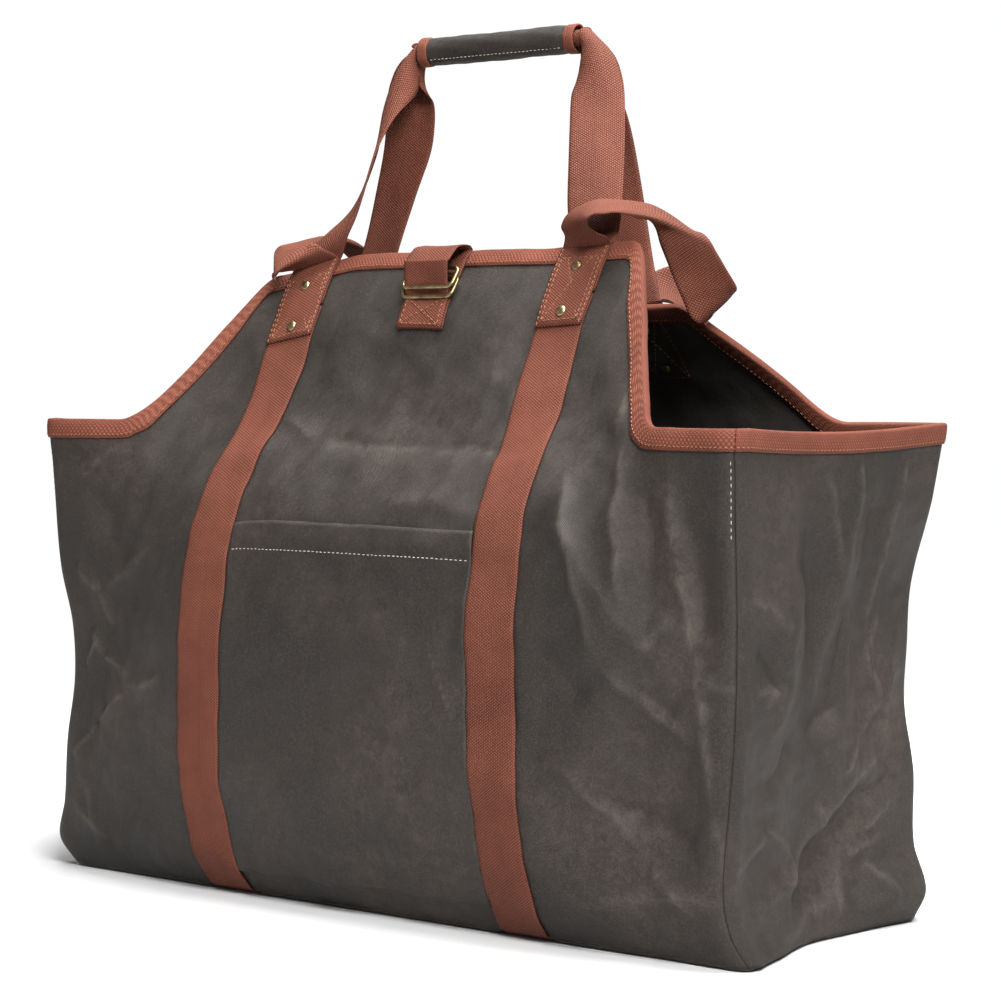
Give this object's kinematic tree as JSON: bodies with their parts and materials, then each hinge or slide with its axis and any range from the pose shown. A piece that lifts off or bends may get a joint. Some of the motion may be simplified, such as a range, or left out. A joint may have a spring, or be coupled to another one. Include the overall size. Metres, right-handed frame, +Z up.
{
  "type": "log carrier bag",
  "caption": "Open topped waxed canvas firewood carrier with low ends, leaning flaps, webbing straps, a wrapped carrying grip, side handles and a brass ring tab.",
  "frame": {"origin": "on the floor under the middle of the bag, on the underside of the base panel", "axes": "+X along the bag to its right end, -Y to the front with the ring tab and the pocket, +Z up"},
  "size_m": [0.6242, 0.2956, 0.609],
  "materials": {
    "canvas": "waxed, matt",
    "webbing": "ribbed weave, matt",
    "binding": "twill tape, matt",
    "brass": "antique, satin"
  },
  "bodies": {
    "root": {"front_panel": "canvas", "back_panel": "canvas", "end_panel_left": "canvas", "end_panel_right": "canvas", "base_panel": "canvas", "front_pocket": "canvas", "grip_wrap": "canvas", "strap_left": "webbing", "strap_right": "webbing", "side_handle_left": "webbing", "side_handle_right": "webbing", "handle_front": "webbing", "handle_back": "webbing", "ring_tab": "webbing", "binding_front": "binding", "binding_back": "binding", "binding_end_left": "binding", "binding_end_right": "binding", "grip_band_left": "binding", "grip_band_right": "binding", "ring_outer": "brass", "ring_inner": "brass", "rivet_front_left_lower": "brass", "rivet_front_left_upper": "brass", "rivet_front_right_lower": "brass", "rivet_front_right_upper": "brass", "rivet_back_left_lower": "brass", "rivet_back_left_upper": "brass", "rivet_back_right_lower": "brass", "rivet_back_right_upper": "brass"}
  },
  "joints": []
}
